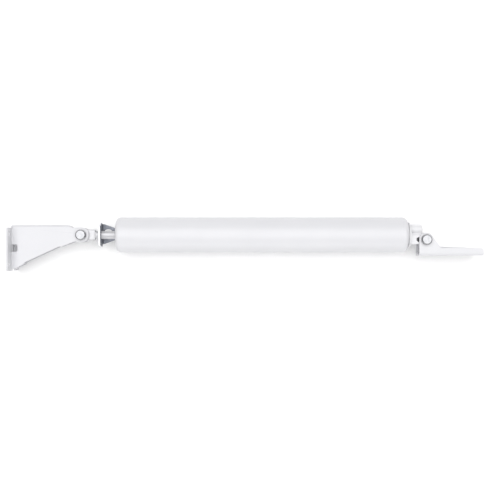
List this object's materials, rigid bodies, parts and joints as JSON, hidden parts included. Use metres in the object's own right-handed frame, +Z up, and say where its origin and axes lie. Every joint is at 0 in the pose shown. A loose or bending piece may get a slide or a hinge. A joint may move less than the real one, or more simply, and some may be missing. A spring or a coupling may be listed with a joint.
{
  "type": "pneumatic door closer",
  "caption": "Pneumatic closer for a light outward-opening door: a sprung tube on a steel rod with a hold-open washer, pinned to a jamb bracket and a door bracket.",
  "frame": {"origin": "where the tube's axis meets the jamb's face, midway between the jamb bracket's two screw flanges", "axes": "+X along the tube from the jamb to the door bracket, +Y away from the door's face, +Z up along both pins"},
  "size_m": [0.4253, 0.0482, 0.037],
  "materials": {
    "white_enamel": "satin",
    "bright_steel": "polished",
    "zinc_plate": "satin",
    "spring_steel": "satin",
    "white_acetal": "satin",
    "black_nylon": "matte",
    "black_rubber": "matte",
    "brass": "satin"
  },
  "bodies": {
    "jamb_bracket": {"jamb_bracket": "white_enamel", "jamb_pin": "bright_steel", "jamb_pin_clip": "spring_steel"},
    "rod": {"piston_rod": "bright_steel", "piston_body": "black_nylon", "piston_cup_seal": "black_rubber", "cup_retainer": "zinc_plate", "piston_nut": "zinc_plate"},
    "hold_open_washer": {"hold_open_washer": "zinc_plate"},
    "spring": {"closing_spring": "spring_steel", "rear_spring_seat": "zinc_plate"},
    "tube": {"closer_tube": "white_enamel", "rod_guide": "white_acetal", "front_spring_seat": "zinc_plate", "end_plug": "white_acetal", "end_plug_o_ring": "black_rubber"},
    "adjusting_screw": {"adjusting_screw": "brass", "adjusting_screw_o_ring": "black_rubber"},
    "door_bracket": {"door_bracket": "white_enamel", "door_pin": "bright_steel", "door_pin_clip": "spring_steel"}
  },
  "joints": [
    {"name": "jamb_pivot", "type": "hinge", "parent": "jamb_bracket", "child": "rod", "pos_m": [0.0639, 0, 0], "axis": [0, 0, 1], "range_deg": [-105, 90]},
    {"name": "tube_swivel", "type": "hinge", "parent": "rod", "child": "spring", "pos_m": [0.3, 0, 0], "axis": [1, 0, 0], "continuous": true},
    {"name": "rod_slide", "type": "slide", "parent": "spring", "child": "tube", "axis": [1, 0, 0], "range_m": [0, 0.14], "stiffness_N_per_m": 280, "springref_m": -0.095, "deforming": ["closing_spring"]},
    {"name": "washer_slide", "type": "slide", "parent": "rod", "child": "hold_open_washer", "axis": [1, 0, 0], "range_m": [0, 0.14]},
    {"name": "adjusting_screw_turn", "type": "hinge", "parent": "tube", "child": "adjusting_screw", "pos_m": [0.3714, 0.005, 0], "axis": [1, 0, 0], "range_deg": [-360, 360]},
    {"name": "door_pivot", "type": "hinge", "parent": "tube", "child": "door_bracket", "pos_m": [0.3739, -0.0042, 0], "axis": [0, 0, 1], "range_deg": [-25, 120]}
  ],
  "couplings": [
    {"joint": "washer_slide", "follows": "rod_slide", "ratio": 1}
  ]
}
